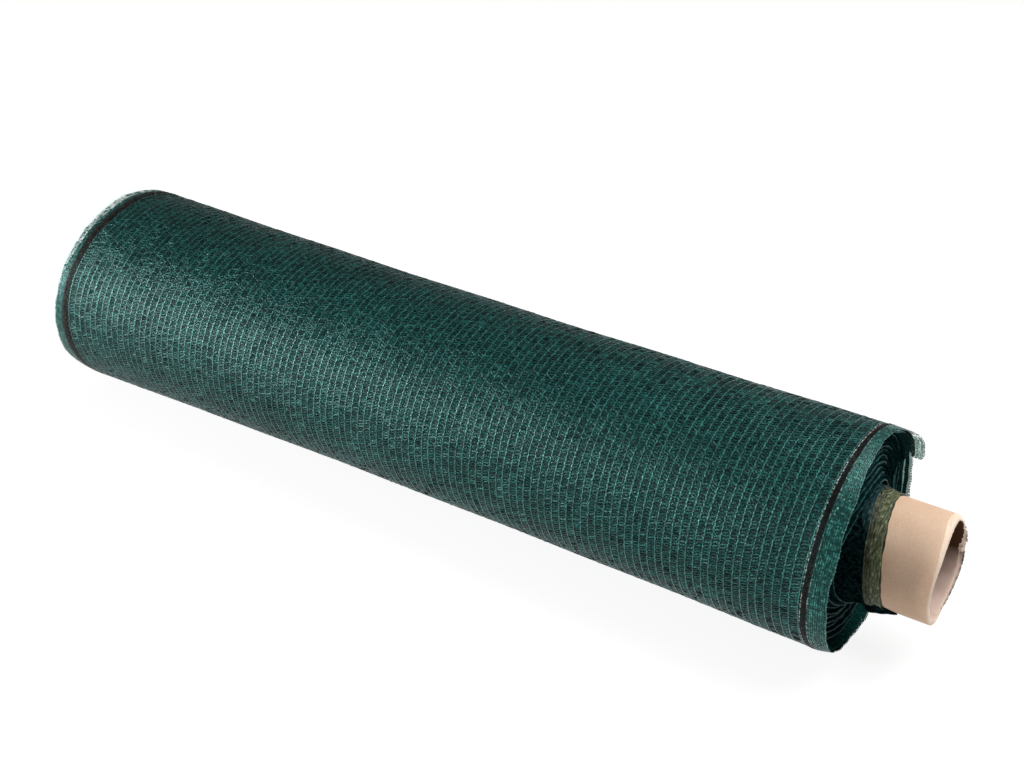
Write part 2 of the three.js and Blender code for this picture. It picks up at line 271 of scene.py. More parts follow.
def read_table(rows, value, column=1):
    """A column of a table sorted by its first column, straight between rows."""
    return np.interp(value, [row[0] for row in rows], [row[column] for row in rows])


def read_round(rows, angle, column=1):
    """A column of a table that runs round the roll."""
    keys = [row[0] for row in rows]
    return np.interp(angle, keys, [row[column] for row in rows], period=FULL_TURN)


def read_sides(rows, out, angle):
    """A table with a column for each side, blended softly from side to side."""
    upright = np.cos(np.radians(angle))
    sideways = np.sin(np.radians(angle))
    top, front, bottom, back = (read_table(rows, out, column) for column in range(1, 5))
    vertical = np.where(upright > 0, top, bottom)
    level = np.where(sideways > 0, front, back)
    return vertical * upright**2 + level * sideways**2


def blend(start, end, value):
    """From 0 at start to 1 at end, softly."""
    share = np.clip((value - start) / (end - start), 0, 1)
    return share * share * (3 - 2 * share)


def angle_from_top(angle):
    """An angle brought between -180 and 180."""
    return (np.asarray(angle) + FULL_TURN / 2) % FULL_TURN - FULL_TURN / 2


def hump(start, full, fade, end, angle):
    """1 between full and fade, angles going up, and softly 0 outside start and end."""
    turned = angle_from_top(angle)
    return blend(start, full, turned) * (1 - blend(fade, end, turned))


# The shape of the roll

def roll_radius(along):
    """Half width of the roll at a distance along."""
    share = along / STRIPE_SPACING
    straight = NEAR_RADIUS + (FAR_RADIUS - NEAR_RADIUS) * share
    waist = 4 * WAIST * share * (1 - share)
    return straight - waist + read_table(SECTIONS, along)


def roll_point(along, radius, angle, lowest=0.0):
    """A point at a radius and angle, no lower than lowest, where the roll is flat."""
    radians = np.radians(angle)
    outward = np.clip((radius - CORE_RADIUS) / (NEAR_RADIUS - CORE_RADIUS), 0, 1)
    squash = 1 + (SQUASH - 1) * outward
    centre_y = CORE_Y + (ROLL_SHIFT_Y - CORE_Y) * outward
    centre_z = CORE_Z + (AXIS_HEIGHT - CORE_Z) * outward
    y = centre_y - radius * np.sin(radians)
    z = centre_z + radius * squash * np.cos(radians)
    x = STRIPE_X - along + 0 * z
    return np.stack([x, y, np.maximum(z, lowest)], axis=-1)


def radius_at(out, foot):
    """The radius at a share of the way out from the core to the foot of the lip."""
    inner = CORE_RADIUS + CORE_GAP
    return inner + (foot - inner) * out


def sink(wound):
    """How far a turn lies below the full radius: the loose end lies on it."""
    return np.maximum(wound - LOOSE_ARC, 0) / (FULL_TURN - LOOSE_ARC) * LOOSE_SINK


def dents(along, angle):
    """Slight unevenness of the tight winding, in depth."""
    turn = np.radians(angle)
    long_wave = np.sin(along / 41 + 2 * np.sin(turn)) * np.sin(2 * turn + along / 130)
    short_wave = np.sin(along / 17 + 3 * turn) * np.sin(5 * turn - along / 60)
    return 0.18 + 0.13 * long_wave + 0.05 * short_wave


def rim_wobble(angle):
    """Small waves in the selvedge's edge."""
    return 0.45 * np.sin(angle * 0.21) + 0.35 * np.sin(angle * 0.53 + 1)


def cloth_rim(wound, table, loose_column, wobble_shift):
    """Place and lean of the cloth's edge at one end. The lean comes in over the loose end."""
    angle = CUT_EDGE_ANGLE + wound
    upright_to = 20
    full_from = LOOSE_ARC + 6
    loose_place = read_table(LOOSE_EDGE, angle, loose_column)
    place = np.where(wound < LOOSE_ARC, loose_place, read_round(table, angle, RIM_PLACE))
    lean = read_round(table, angle, RIM_LEAN) * blend(upright_to, full_from, wound)
    return place + rim_wobble(angle + wobble_shift), lean


def cloth_point(cross, wound, depth):
    """A point of the outermost turn, at a depth below the cloth's outer side."""
    angle = CUT_EDGE_ANGLE + wound
    shift = read_round(FAR_STRIPE, angle)
    across = np.clip(cross / STRIPE_SPACING, 0, 1)
    inside = cross + shift * across**2
    near_share = np.clip(-cross / SELVEDGE, 0, None)
    far_share = np.clip((cross - STRIPE_SPACING) / SELVEDGE, 0, None)
    reach, near_lean = cloth_rim(wound, NEAR_RIM, LOOSE_NEAR, 0)
    rim_along, far_lean = cloth_rim(wound, FAR_RIM, LOOSE_FAR, 100)
    far_start = STRIPE_SPACING + shift
    along = np.select(
        [cross < 0, cross > STRIPE_SPACING],
        [-near_share * reach, far_start + far_share * (rim_along - far_start)],
        inside,
    )
    lean = near_lean * near_share**1.5 + far_lean * far_share**1.5
    inward = sink(wound) + lean + dents(along, angle) + depth
    return roll_point(along, roll_radius(along) - inward, angle, lowest=np.maximum(depth, 0))


# Meshes from arrays of points

def make_piece(name, corners, faces, looks, smooth=True, which=None):
    """A piece that rides on the roll, from corners in millimetres and like faces. With
    several looks, which holds the number of each face's look."""
    count, sides = faces.shape
    mesh = bpy.data.meshes.new(name)
    mesh.vertices.add(len(corners))
    mesh.vertices.foreach_set("co", (corners * MM).astype(np.float32).ravel())
    mesh.loops.add(count * sides)
    mesh.loops.foreach_set("vertex_index", faces.astype(np.int32).ravel())
    mesh.polygons.add(count)
    mesh.polygons.foreach_set("loop_start", np.arange(count, dtype=np.int32) * sides)
    mesh.polygons.foreach_set("use_smooth", np.full(count, smooth))
    for look in looks if isinstance(looks, list) else [looks]:
        mesh.materials.append(look)
    if which is not None:
        mesh.polygons.foreach_set("material_index", np.asarray(which, dtype=np.int32))
    mesh.update(calc_edges=True)
    mesh.validate()
    piece = bpy.data.objects.new(name, mesh)
    bpy.context.scene.collection.objects.link(piece)
    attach(piece, "root")
    return piece


def grid_faces(rows, columns, close_columns=False):
    """Four-sided faces of a grid of points, numbered along its rows."""
    numbers = np.arange(rows * columns).reshape(rows, columns)
    if close_columns:
        numbers = np.concatenate([numbers, numbers[:, :1]], axis=1)
    around = [numbers[:-1, :-1], numbers[:-1, 1:], numbers[1:, 1:], numbers[1:, :-1]]
    return np.stack(around, axis=-1).reshape(-1, 4)


def bands(sections):
    """Flat bands from sections: an array of bands, stations, two edges, coordinates."""
    count, stations = sections.shape[:2]
    numbers = np.arange(count * stations * 2).reshape(count, stations, 2)
    around = [numbers[:, :-1, 0], numbers[:, 1:, 0], numbers[:, 1:, 1], numbers[:, :-1, 1]]
    return sections.reshape(-1, 3), np.stack(around, axis=-1).reshape(-1, 4)


def shell(outer, inner):
    """A thin closed sheet between two grids of points of the same size."""
    rows, columns = outer.shape[:2]
    count = rows * columns
    top = grid_faces(rows, columns)
    number = np.arange(count).reshape(rows, columns)
    loop = np.concatenate([number[0], number[1:, -1], number[-1, -2::-1], number[-2:0:-1, 0]])
    after = np.roll(loop, -1)
    rim = np.stack([loop, loop + count, after + count, after], axis=-1)
    corners = np.concatenate([outer.reshape(-1, 3), inner.reshape(-1, 3)])
    return corners, np.concatenate([top, top[:, ::-1] + count, rim])


# The knit's threads

def chain_nodes(crosses, first, last):
    """Cross and wound of every stitch of some chains, with the knit's unevenness."""
    crosses = np.asarray(crosses, float)[:, None]
    courses = np.arange(first, last + 1)[None, :]
    phase = rng.uniform(0, 2 * math.pi, (3, crosses.size, 1))
    wander = 0.3 * np.sin(courses / 7.3 + phase[0]) + 0.2 * np.sin(courses / 3.1 + phase[1])
    bow = 0.9 * np.sin(crosses / 140 + 0.7) + 0.5 * np.sin(crosses / 43)
    unevenness = 0.07 * rng.normal(size=(crosses.size, courses.size))
    course = courses + bow + unevenness + 0.12 * np.sin(courses / 5 + phase[2])
    course = np.where(courses == 0, np.maximum(course, 0), course)
    return crosses + wander, np.maximum(course, 0) * COURSE_ANGLE


def chain_beads(cross, wound, width, depth):
    """Stitches of chains: a three-sided spindle from each node to the next."""
    overlap = 0.12
    widest = 0.42
    sway = 0.16 * width
    start_c, end_c = cross[:, :-1], cross[:, 1:]
    start_w, end_w = wound[:, :-1], wound[:, 1:]
    step_w = end_w - start_w
    zigzag = sway * np.where(np.arange(start_c.shape[1]) % 2, 1, -1)[None, :]
    middle_c = start_c + (end_c - start_c) * widest + zigzag
    middle_w = start_w + step_w * widest
    half = width / 2 * rng.uniform(0.75, 1.2, start_c.shape)
    low = np.full(start_c.shape, depth)
    spindle = [
        (start_c, start_w - step_w * overlap, low + 0.06),
        (middle_c - half, middle_w, low + 0.05),
        (middle_c + half, middle_w, low + 0.05),
        (middle_c, middle_w, low - half * BEAD_HEIGHT),
        (end_c, end_w + step_w * overlap, low + 0.02),
    ]
    points = cloth_point(*(np.stack(values, axis=-1) for values in zip(*spindle)))
    first = np.arange(start_c.size)[:, None, None] * len(spindle)
    start, left, right, crest, end = range(5)
    sides = np.array([
        [start, crest, left], [start, right, crest], [start, left, right],
        [end, left, crest], [end, crest, right], [end, right, left],
    ])
    return points.reshape(-1, 3), (first + sides[None]).reshape(-1, 3)


def tape_bands(start, end, width, over, twist_range):
    """Flat tapes from node to node. start and end are (cross, wound) arrays. A tape that
    is "over" crosses above the other system in the middle."""
    stations = np.array([0.03, 0.35, 0.65, 0.97])
    swell = np.array([0.4, 1, 1, 0.4])
    raised = np.array([0.0, 1, 1, 0.0])
    crossing_lift = 0.28
    margin = 0.05
    start_c, start_w = (value.ravel()[:, None] for value in start)
    end_c, end_w = (value.ravel()[:, None] for value in end)
    run_c = end_c - start_c
    run_w = (end_w - start_w) / DEGREES_PER_MM
    length = np.hypot(run_c, run_w)
    width = width * rng.uniform(0.75, 1.25, length.shape)
    twist = rng.normal(0, twist_range, length.shape)
    slack = rng.normal(0, 0.25, length.shape)
    cross = start_c + run_c * stations
    wound = start_w + (run_w * stations + slack * raised) * DEGREES_PER_MM
    lift = np.where(over.ravel()[:, None], -crossing_lift, crossing_lift) * raised
    half = width / 2 * swell
    sections = []
    for side in (-1, 1):
        edge_c = cross - side * run_w / length * half
        edge_w = wound + side * run_c / length * half * DEGREES_PER_MM
        edge_d = TAPE_DEPTH + lift + side * half * np.sin(twist)
        edge_d = np.clip(edge_d, margin, SHEET_DEPTH - margin)
        sections.append(cloth_point(edge_c, edge_w, edge_d))
    return bands(np.stack(sections, axis=2))


def zigzag_tapes(cross, wound, phase):
    """One system of tapes between neighbouring chains. The two phases cross."""
    chains, courses = cross.shape
    course = np.arange(courses - 1)[None, :] + np.zeros((chains - 1, 1), int)
    rising = (course + phase) % 2 == 0
    nodes = (cross, wound)
    start = [np.where(rising, value[:-1, :-1], value[:-1, 1:]) for value in nodes]
    end = [np.where(rising, value[1:, 1:], value[1:, :-1]) for value in nodes]
    return tape_bands(start, end, TAPE_WIDTH, rising, TAPE_TWIST)


def main_knit(name, crosses, first, last):
    """The chains and both systems of tapes of one stretch of the main cloth."""
    cross, wound = chain_nodes(crosses, first, last)
    beads = chain_beads(cross, wound, CHAIN_WIDTH, CHAIN_DEPTH)
    made = [make_piece(f"{name}_chains", *beads, CHAIN, False)]
    for phase, letter in enumerate("ab"):
        tapes = zigzag_tapes(cross, wound, phase)
        made.append(make_piece(f"{name}_tapes_{letter}", *tapes, TAPE))
    return [piece for piece in made]


def chain_rows(name, crosses, first, last, look, width, depth=CHAIN_DEPTH):
    """Rows of stitches on their own."""
    cross, wound = chain_nodes(crosses, first, last)
    piece = make_piece(name, *chain_beads(cross, wound, width, depth), look, False)
    return [piece]


def laddered_knit(name, crosses, first, last, looks, widths):
    """A narrow strip of close chains joined by rungs at each course, as one piece for
    the chains and one for the rungs. Both pairs are for the chains, then the rungs."""
    chain_look, rung_look = looks
    chain_width, rung_width = widths
    cross, wound = chain_nodes(crosses, first, last)
    start = (cross[:-1, :-1], wound[:-1, :-1])
    end = (cross[1:, 1:], wound[1:, 1:])
    over = np.arange(start[0].size).reshape(start[0].shape) % 2 == 0
    rungs = tape_bands(start, end, rung_width, over, 0.4)
    chains = chain_beads(cross, wound, chain_width, CHAIN_DEPTH)
    made = [
        make_piece(f"{name}_chains", *chains, chain_look, False),
        make_piece(f"{name}_rungs", *rungs, rung_look),
    ]
    return [piece for piece in made]


# Materials

WHITE = (1, 1, 1)
MIXED = (0.42, 0.6)
PLASTIC_SHEEN = (0.38, 0.92, 0.84)
MIX_COLOUR, MIX_OTHER, MIX_RESULT = 6, 7, 2


class Look:
    """A material that is being made. Its textures are read in the object's coordinates."""

    def __init__(self, name, roughness, specular, tint=WHITE):
        self.material = bpy.data.materials.new(name)
        self.material.use_nodes = True
        self.nodes = self.material.node_tree.nodes
        self.place = self.add("ShaderNodeTexCoord", {})["Object"]
        self.shader = self.nodes["Principled BSDF"]
        self.feed(self.shader, {
            "Roughness": roughness,
            "Specular IOR Level": specular,
            "Specular Tint": (*tint, 1),
        })

    def feed(self, node, inputs):
        """Gives a node's inputs their values, or links them to other nodes' outputs."""
        for name, value in inputs.items():
            if isinstance(value, bpy.types.NodeSocket):
                self.material.node_tree.links.new(value, node.inputs[name])
            else:
                node.inputs[name].default_value = value

    def add(self, kind, inputs, **settings):
        """Adds a node and returns its outputs."""
        node = self.nodes.new(kind)
        for name, value in settings.items():
            setattr(node, name, value)
        self.feed(node, inputs)
        return node.outputs

    def noise(self, scale, detail, place=None):
        """A noise texture."""
        vector = self.place if place is None else place
        inputs = {"Scale": scale, "Detail": detail, "Vector": vector}
        return self.add("ShaderNodeTexNoise", inputs)["Fac"]

    def ramp(self, value, stops):
        """A colour ramp with stops of place and colour."""
        node = self.nodes.new("ShaderNodeValToRGB")
        elements = node.color_ramp.elements
        while len(elements) < len(stops):
            elements.new(0.5)
        for element, (place, colour) in zip(elements, stops):
            element.position = place
            element.color = (*colour, 1)
        self.feed(node, {"Fac": value})
        return node.outputs["Color"]

    def multiply(self, colour, other):
        """Darkens a colour by another."""
        inputs = {"Factor": 1.0, MIX_COLOUR: colour, MIX_OTHER: other}
        return self.add(
            "ShaderNodeMix", inputs, data_type="RGBA", blend_type="MULTIPLY")[MIX_RESULT]

    def shade(self, colour, clouds, low, dark, high):
        """Darkens a colour in clouds: by dark where they are low, not at all where high."""
        return self.multiply(colour, self.ramp(clouds, [(low, dark), (high, WHITE)]))

    def colour(self, colour):
        """Gives the material its colour."""
        self.feed(self.shader, {"Base Color": colour})

    def bump(self, height, strength, distance):
        """Fine relief from a height."""
        inputs = {"Strength": strength, "Distance": distance, "Height": height}
        self.feed(self.shader, {"Normal": self.add("ShaderNodeBump", inputs)["Normal"]})

    def glow(self, colour, strength):
        """Light of the material's own."""
        self.feed(self.shader, {"Emission Color": (*colour, 1), "Emission Strength": strength})


def thread_look(
        name, dark, light, roughness=0.36, specular=0.3, spread=(0.3, 0.72), crinkle=0.0003,
        glow=None):
    """Plastic tape: its tone differs from thread to thread and slowly over the roll, and
    its film is crinkled, which breaks its glints up."""
    look = Look(name, roughness, specular, PLASTIC_SHEEN)
    tone = look.ramp(look.noise(260, 1.0), [(spread[0], dark), (spread[1], light)])
    look.colour(look.shade(tone, look.noise(14, 3.0), 0.3, (0.7, 0.72, 0.74), 0.7))
    look.bump(look.noise(560, 2.0), 0.8, crinkle)
    if glow:
        look.glow(*glow)
    return look.material


def under_knit_look(name, dark, light, specular=0.15):
    """The layers that show through the gaps: the same knit, in shadow and out of step."""
    look = Look(name, 0.6, specular)
    fine = look.noise(320, 2.0)
    tone = look.ramp(fine, [(0.42, dark), (0.62, light)])
    look.colour(look.shade(tone, look.noise(9, 2.0), 0.3, (0.7, 0.7, 0.7), 0.7))
    look.bump(fine, 0.6, 0.0006)
    return look.material


def close_knit_look(name, dark, light, fleck, stretch, specular=0.25):
    """Knit too fine to see thread by thread: mottled, streaky and with small flecks."""
    look = Look(name, 0.5, specular)
    stretched = look.add("ShaderNodeMapping", {"Vector": look.place, "Scale": stretch})
    streaks = look.noise(260, 3.0, stretched["Vector"])
    tone = look.ramp(streaks, [(0.35, dark), (0.6, light), (0.72, fleck)])
    look.colour(look.shade(tone, look.noise(40, 2.0), 0.35, (0.6, 0.6, 0.6), 0.65))
    look.bump(streaks, 0.6, 0.0005)
    return look.material


def seam(look):
    """White but for the thin dark line of a ply's edge, which climbs round the core."""

    def maths(operation, first, second=0):
        return look.add("ShaderNodeMath", {0: first, 1: second}, operation=operation)["Value"]

    place = look.add("ShaderNodeSeparateXYZ", {"Vector": look.place})
    height = maths("SUBTRACT", place["Z"], CORE_Z * MM)
    turned = maths("ARCTAN2", place["Y"], height)
    climb = maths("MULTIPLY", turned, PLY_WIDTH * MM / (2 * math.pi))
    climbed = maths("ADD", place["X"], climb)
    in_step = maths("FRACT", maths("MULTIPLY", climbed, 1 / (PLY_WIDTH * MM)))
    line = (0.93, 0.91, 0.88)
    share = SEAM_WIDTH / PLY_WIDTH
    return look.ramp(in_step, [(0, line), (share, line), (share * 1.6, WHITE), (1, WHITE)])


def cardboard_look(name, dark, light):
    """Smooth grey-brown board with faint fibres and the spiral seams of its plies."""
    look = Look(name, 0.8, 0.2)
    tone = look.ramp(look.noise(22, 5.0), [(0.3, dark), (0.7, light)])
    fibres = look.noise(700, 3.0)
    flecked = look.shade(tone, fibres, 0.3, (0.88, 0.86, 0.84), 0.6)
    look.colour(look.multiply(flecked, seam(look)))
    look.bump(fibres, 0.15, 0.0003)
    return look.material


def shaded_bore_look(name, low, high):
    """The inside of the core: like the board below, painted dark brown at the top as shade."""
    look = Look(name, 0.85, 0.1)
    place = look.add("ShaderNodeSeparateXYZ", {"Vector": look.place})
    height = look.add("ShaderNodeMapRange", {
        "From Min": (CORE_Z - BORE_RADIUS) * MM,
        "From Max": (CORE_Z + BORE_RADIUS) * MM,
        "Value": place["Z"],
    })
    tone = look.ramp(height["Result"], [(0.26, low), (0.44, high)])
    look.colour(look.shade(tone, look.noise(60, 3.0), 0.3, (0.85, 0.82, 0.8), 0.6))
    return look.material


def light_table_look(name, colour, glow):
    """A table that is white by its own light more than by what falls on it, with the
    faintest mottling."""
    look = Look(name, 0.9, 0.1)
    low = tuple(0.99 * value for value in colour)
    look.colour(look.ramp(look.noise(3, 2.0), [(0.3, low), (0.7, colour)]))
    look.glow(WHITE, glow)
    return look.material


# The looks, each with its dark and its light tone first, the bore's from below up

TAPE = thread_look(
    "netting tape", (0.001, 0.0165, 0.0155), (0.006, 0.06, 0.054),
    roughness=0.34, specular=0.34, spread=MIXED, crinkle=0.0013)
CHAIN = thread_look(
    "netting chain", (0.004, 0.038, 0.035), (0.022, 0.11, 0.098),
    specular=0.8, spread=(0.42, 0.64), crinkle=0.0011)
UNDER = under_knit_look("netting below", (0.0008, 0.006, 0.006), (0.003, 0.022, 0.02))
# Painted shade: the faces of both ends' hollows, darker still than the netting below
DEEP_SHADE = under_knit_look(
    "depth of the end", (0.0005, 0.002, 0.0025), (0.006, 0.018, 0.018), specular=0.0)
GROUND = close_knit_look(
    "selvedge ground", (0.003, 0.034, 0.031), (0.007, 0.06, 0.054),
    fleck=(0.02, 0.13, 0.11), stretch=(1, 1, 1))
# Painted shade: the inside of the near rim, darker than the selvedge ground and without gloss
SHADED_INNER_RIM = close_knit_look(
    "rim inside", (0.002, 0.012, 0.012), (0.006, 0.05, 0.044),
    fleck=(0.02, 0.11, 0.095), stretch=(1, 3, 0.4), specular=0.0)
STRIPE = thread_look(
    "stripe thread", (0.002, 0.0017, 0.0017), (0.009, 0.006, 0.0055),
    roughness=0.5, specular=0.12)
FAR_STRIPE_THREAD = thread_look(
    "far stripe thread", (0.006, 0.004, 0.0037), (0.032, 0.022, 0.019),
    roughness=0.5, specular=0.12)
STITCH = thread_look(
    "stripe stitching", (0.02, 0.018, 0.018), (0.32, 0.3, 0.29),
    roughness=0.45, spread=MIXED)
SELVEDGE_THREAD = thread_look(
    "selvedge thread", (0.002, 0.028, 0.025), (0.012, 0.09, 0.076),
    roughness=0.28, specular=0.35, spread=MIXED)
SELVEDGE_CHAIN = thread_look(
    "selvedge chain", (0.003, 0.04, 0.036), (0.075, 0.28, 0.235),
    roughness=0.28, specular=0.5, spread=(0.48, 0.7))
EDGE = thread_look("edge cord", (0.03, 0.075, 0.072), (0.1, 0.2, 0.19), roughness=0.4)

# Thin open knit that light shines through, which a pale colour and a faint glow stand in for
FRINGE = thread_look(
    "fringe thread", (0.25, 0.5, 0.45), (0.55, 0.85, 0.78),
    roughness=0.5, spread=MIXED, glow=((0.58, 0.82, 0.76), 0.16))
# Painted shade and highlight: near-black layers at the ends, and pale edges that stand in for
# their glints
SHADED_LAYER = thread_look(
    "layer", (0.0012, 0.006, 0.007), (0.005, 0.024, 0.024), roughness=0.5, specular=0.0)
LAYER_EDGE_HIGHLIGHT = thread_look(
    "layer edge", (0.003, 0.017, 0.017), (0.026, 0.085, 0.08),
    roughness=0.5, specular=0.04, spread=(0.36, 0.66))
OLIVE = close_knit_look(
    "innermost turn", (0.035, 0.045, 0.022), (0.11, 0.13, 0.07),
    fleck=(0.34, 0.38, 0.2), stretch=(2.4, 0.8, 0.8), specular=0.12)
DARK_OLIVE = close_knit_look(
    "innermost edge", (0.012, 0.013, 0.006), (0.035, 0.036, 0.016),
    fleck=(0.1, 0.1, 0.05), stretch=(2, 1, 1))
BROWN = close_knit_look(
    "second turn", (0.022, 0.025, 0.015), (0.075, 0.08, 0.05),
    fleck=(0.2, 0.22, 0.14), stretch=(2.4, 0.8, 0.8), specular=0.1)
DARK_TURN = close_knit_look(
    "third turn", (0.002, 0.009, 0.011), (0.009, 0.032, 0.033),
    fleck=(0.07, 0.13, 0.12), stretch=(2, 0.7, 0.7), specular=0.05)
# Painted shade: the fold below the core, near black and without gloss
SHADED_SAG = close_knit_look(
    "sagging turn", (0.001, 0.004, 0.005), (0.003, 0.012, 0.013),
    fleck=(0.05, 0.09, 0.1), stretch=(0.6, 2, 2), specular=0.0)
BOARD = cardboard_look("core board", (0.5, 0.34, 0.235), (0.6, 0.43, 0.31))
# Painted shade: the bore is light below and darkens to brown towards its top
SHADED_BORE = shaded_bore_look("core bore", (0.56, 0.42, 0.355), (0.07, 0.03, 0.015))
CUT_BOARD = cardboard_look("core board cut", (0.58, 0.45, 0.35), (0.7, 0.57, 0.45))
TORN_BOARD = cardboard_look("core board torn", (0.42, 0.38, 0.35), (0.7, 0.67, 0.63))
# Painted shade: the ragged edge at the back of the mouth, below its torn top
DARK_BOARD = cardboard_look("core board stained", (0.03, 0.02, 0.014), (0.1, 0.065, 0.045))


# The roll below its outermost turn

def roll_base():
    """The wound form below the outermost threads, with both ends and the bore."""
    step = 2.5
    wound = np.arange(LOOSE_ARC, FULL_TURN + LOOSE_ARC + step / 2, step)
    angle = CUT_EDGE_ANGLE + wound
    near_reach = read_round(NEAR_RIM, angle, RIM_PLACE)
    near_lean = read_round(NEAR_RIM, angle, RIM_LEAN)
    far_along = read_round(FAR_RIM, angle, RIM_PLACE)
    far_lean = read_round(FAR_RIM, angle, RIM_LEAN)
    outside, deep_shade, rim = range(3)
    rings = []
    ring_looks = []

    def add(points, look):
        rings.append(points)
        ring_looks.append(look)

    def face_rings(shares, floor, sign, foot):
        for out in shares:
            along = sign * read_sides(floor, out, angle)
            radius = radius_at(out, foot - sink(wound))
            add(roll_point(along, radius, angle), rim if out == 1 and sign < 0 else deep_shade)

    def lip_ring(along, depth, look):
        add(roll_point(along, roll_radius(along) - depth - sink(wound), angle, BASE_DEPTH), look)

    near_edge = NEAR_LIP + NEAR_LIP_FREE * hump(*NEAR_FREE_STRETCH, angle) - near_reach
    far_edge = far_along - FAR_LIP - FAR_LIP_FREE * hump(*FAR_FREE_STRETCH, angle)
    face_rings(np.linspace(0, 1, 40), NEAR_FLOOR, -1, NEAR_RADIUS - near_lean - LIP_DEPTH)
    for (inside, depth), look in zip(LIP_SECTION, (rim, rim, outside)):
        lip_ring(near_edge + inside, near_lean + depth, look)
    for share in np.linspace(0, 1, 60):
        along = STRIPE_SPACING * share + 0 * angle
        lip_ring(along, BASE_DEPTH + dents(along, angle), outside)
    for inside, depth in reversed(LIP_SECTION):
        lip_ring(far_edge - inside, far_lean + depth, outside)
    face_rings(np.linspace(1, 0, 24), FAR_FLOOR, 1, FAR_RADIUS - far_lean - LIP_DEPTH)
    add(rings[0], deep_shade)
    corners = np.stack(rings)
    faces = grid_faces(*corners.shape[:2], close_columns=True)
    which = np.repeat(ring_looks[:-1], corners.shape[1])
    # The ends' faces and the inside of the near lip are painted dark as shade
    looks = [UNDER, DEEP_SHADE, SHADED_INNER_RIM]
    piece = make_piece("net_base", corners.reshape(-1, 3), faces[:, ::-1], looks, True, which)
    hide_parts("net_roll")
    return piece


# The edges of the layers at an end

def layer_edges(name, edges, rim, rim_radius, sign, *, inner, wave, sway, drop, thickness, depth):
    """A thin spiral ribbon with a wavy edge, towards the open end where sign is -1. Every
    third turn stands out, where several layers' edges lie together, and is painted pale as a
    highlight on its edge; the rest is painted near black as shade between the layers."""
    turned = np.arange(LAYER_TURNS * LAYER_COLUMNS + 1) / LAYER_COLUMNS
    angle = LAYER_START_ANGLE - turned * FULL_TURN
    out = inner + (LAYER_OUTER - inner) * turned / LAYER_TURNS
    number = np.floor(turned).astype(int)
    numbers = np.arange(LAYER_TURNS + 3)
    phase = rng.uniform(0, 2 * math.pi, (3, numbers.size))
    drops = np.where(numbers % LAYER_GROUP == 0, 0, drop) + rng.uniform(-0.5, 0.5, numbers.size)
    shift = rng.uniform(-0.4, 0.4, numbers.size)

    def uneven(values, start=0.0):
        """A value for each turn, which changes over the last part of the turn."""
        change = values[number + 1] - values[number]
        return values[number] + change * blend(start, 1, turned - number)

    turn = np.radians(angle)
    waves = wave * (
        0.7 * np.sin(2 * turn + uneven(phase[0]))
        + 0.35 * np.sin(7 * turn + uneven(phase[1]))
        + 0.2 * np.sin(23 * turn + uneven(phase[2]))
        + rng.uniform(-0.45, 0.45, angle.size)
    )
    reach = read_sides(edges, out, angle) + waves - uneven(drops, 0.7)
    foot = rim_radius - read_round(rim, angle, RIM_LEAN) - LIP_DEPTH
    turn_width = (foot - CORE_RADIUS) * (LAYER_OUTER - inner) / LAYER_TURNS
    radius = radius_at(out, foot) + uneven(shift) * turn_width
    lean = sway * np.sin(3 * turn + uneven(phase[1]))
    half = thickness / 2
    border = 0.9
    rings = []
    for back, side in [(depth, 1), (border, 1), (0, 0), (border, -1), (depth, -1)]:
        curl = lean * (1 - back / depth)
        rings.append(roll_point(sign * (reach - back), radius + side * half + curl, angle, 1.0))
    corners = np.stack(rings).reshape(-1, 3)
    faces = grid_faces(len(rings), angle.size)[:, ::sign]
    # Painted highlight on the edges of every third turn
    pale = (number[:-1] % LAYER_GROUP == 0).astype(int)
    which = np.concatenate([0 * pale, pale, pale, 0 * pale])
    piece = make_piece(name, corners, faces, [SHADED_LAYER, LAYER_EDGE_HIGHLIGHT], True, which)
    return piece


def near_layers():
    """The hollow of the open end."""
    return layer_edges(
        "near_layers", NEAR_EDGES, NEAR_RIM, NEAR_RADIUS, -1,
        inner=0.13, wave=1.1, sway=0.9, drop=3.6, thickness=2.0, depth=10)


def far_layers():
    """The nearly level face of the far end."""
    return layer_edges(
        "far_layers", FAR_EDGES, FAR_RIM, FAR_RADIUS, 1,
        inner=0.1, wave=0.9, sway=0.5, drop=1.2, thickness=1.0, depth=6)


# The innermost turns round the core

def collar_turn(name, look, *, back, front, height, low_front=0):
    """One turn of the collar, at a height over the core: a crinkled band from back to
    front behind the collar's edge, with a rounded border that comes down on the turn or
    core below."""
    angle = np.arange(0, FULL_TURN, 2.5)
    radians = np.radians(angle)
    edge = read_round(COLLAR_EDGE, angle)
    radius = CORE_RADIUS + height - low_front * hump(25, 60, 150, 175, angle)
    border = front - 0.35 * np.sin(9 * radians + back) - 0.25 * np.sin(23 * radians)
    rings = []
    for share in np.linspace(0, 1, 9):
        behind = back + (border + 0.7 - back) * share
        crinkle = 0.22 * np.sin(31 * radians + 5 * share + radius)
        crinkle = crinkle * np.sin(3 * radians + 9 * share)
        crease = 0.18 * np.sin(share * 15 + radius)
        rings.append(roll_point(behind - edge, radius + crinkle + crease, angle))
    rings.append(roll_point(border - edge, radius - 0.5, angle))
    rings.append(roll_point(border + 0.5 - edge, CORE_RADIUS + CORE_GAP, angle))
    corners = np.stack(rings)
    faces = grid_faces(*corners.shape[:2], close_columns=True)
    piece = make_piece(name, corners.reshape(-1, 3), faces, look)
    return piece


